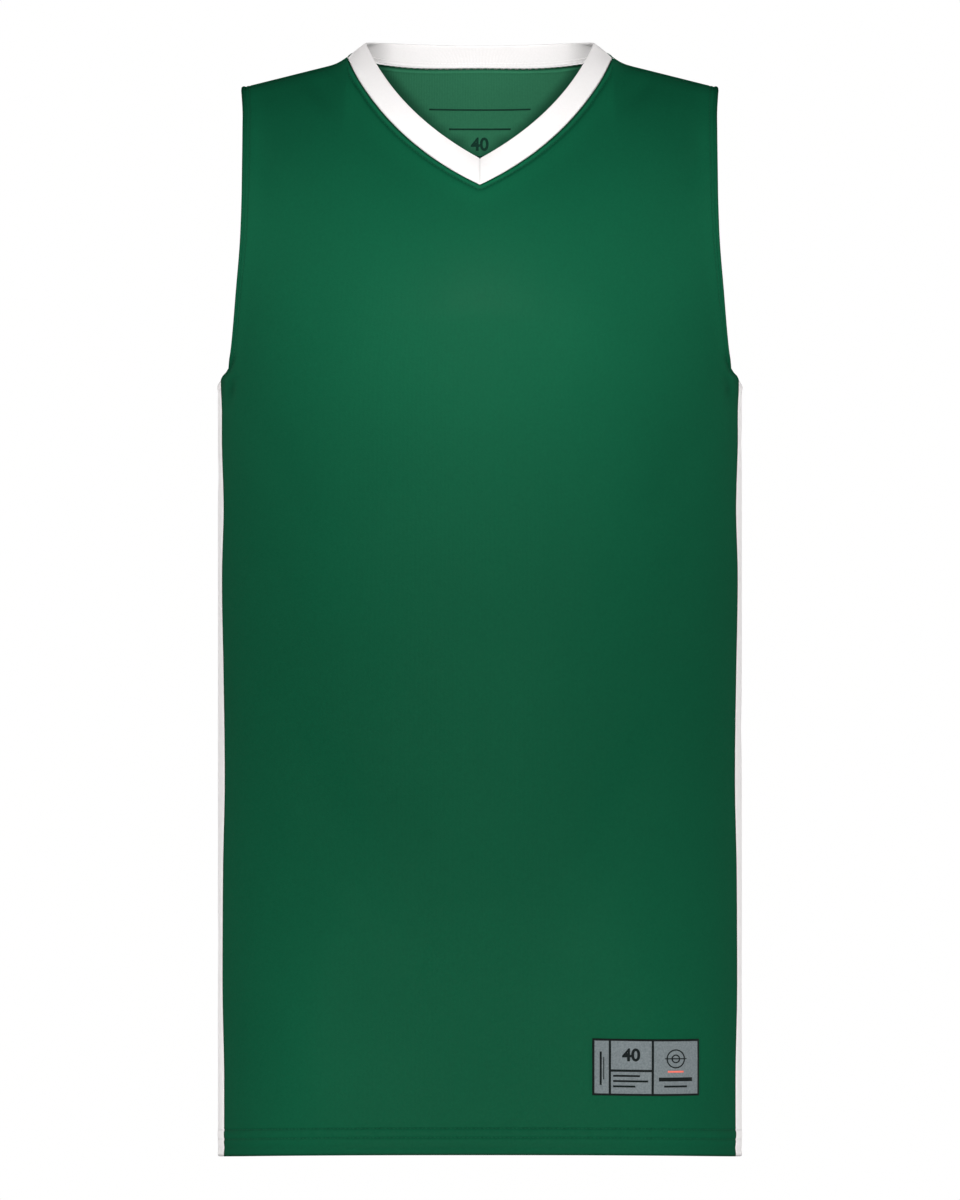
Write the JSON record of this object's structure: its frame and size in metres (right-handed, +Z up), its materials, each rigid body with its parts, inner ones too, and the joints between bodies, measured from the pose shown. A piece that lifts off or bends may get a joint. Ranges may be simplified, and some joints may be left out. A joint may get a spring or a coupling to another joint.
{
  "type": "basketball jersey, filled out as when worn",
  "caption": "Sleeveless V-necked basketball jersey in an adult medium, a hollow tube of thin knit cloth with open neck, armholes and hem, worn on the shoulders.",
  "frame": {"origin": "midway between the two neck points, where the shoulder seams meet the collar, at the height where a wearer's shoulders carry the cloth", "axes": "+Z up from hem to shoulders, the front faces -Y, +X is the wearer's left"},
  "size_m": [0.3666, 0.2436, 0.7813],
  "materials": {
    "knit_green": "smooth polyester knit with a faint sheen, matt and lighter on its inside",
    "knit_white": "smooth white polyester knit",
    "tag_grey": "woven satin tag with a black woven border"
  },
  "bodies": {
    "root": {"front": "knit_green", "back": "knit_green", "side_left": "knit_white", "side_right": "knit_white", "collar": "knit_white", "tag": "tag_grey"}
  },
  "joints": []
}
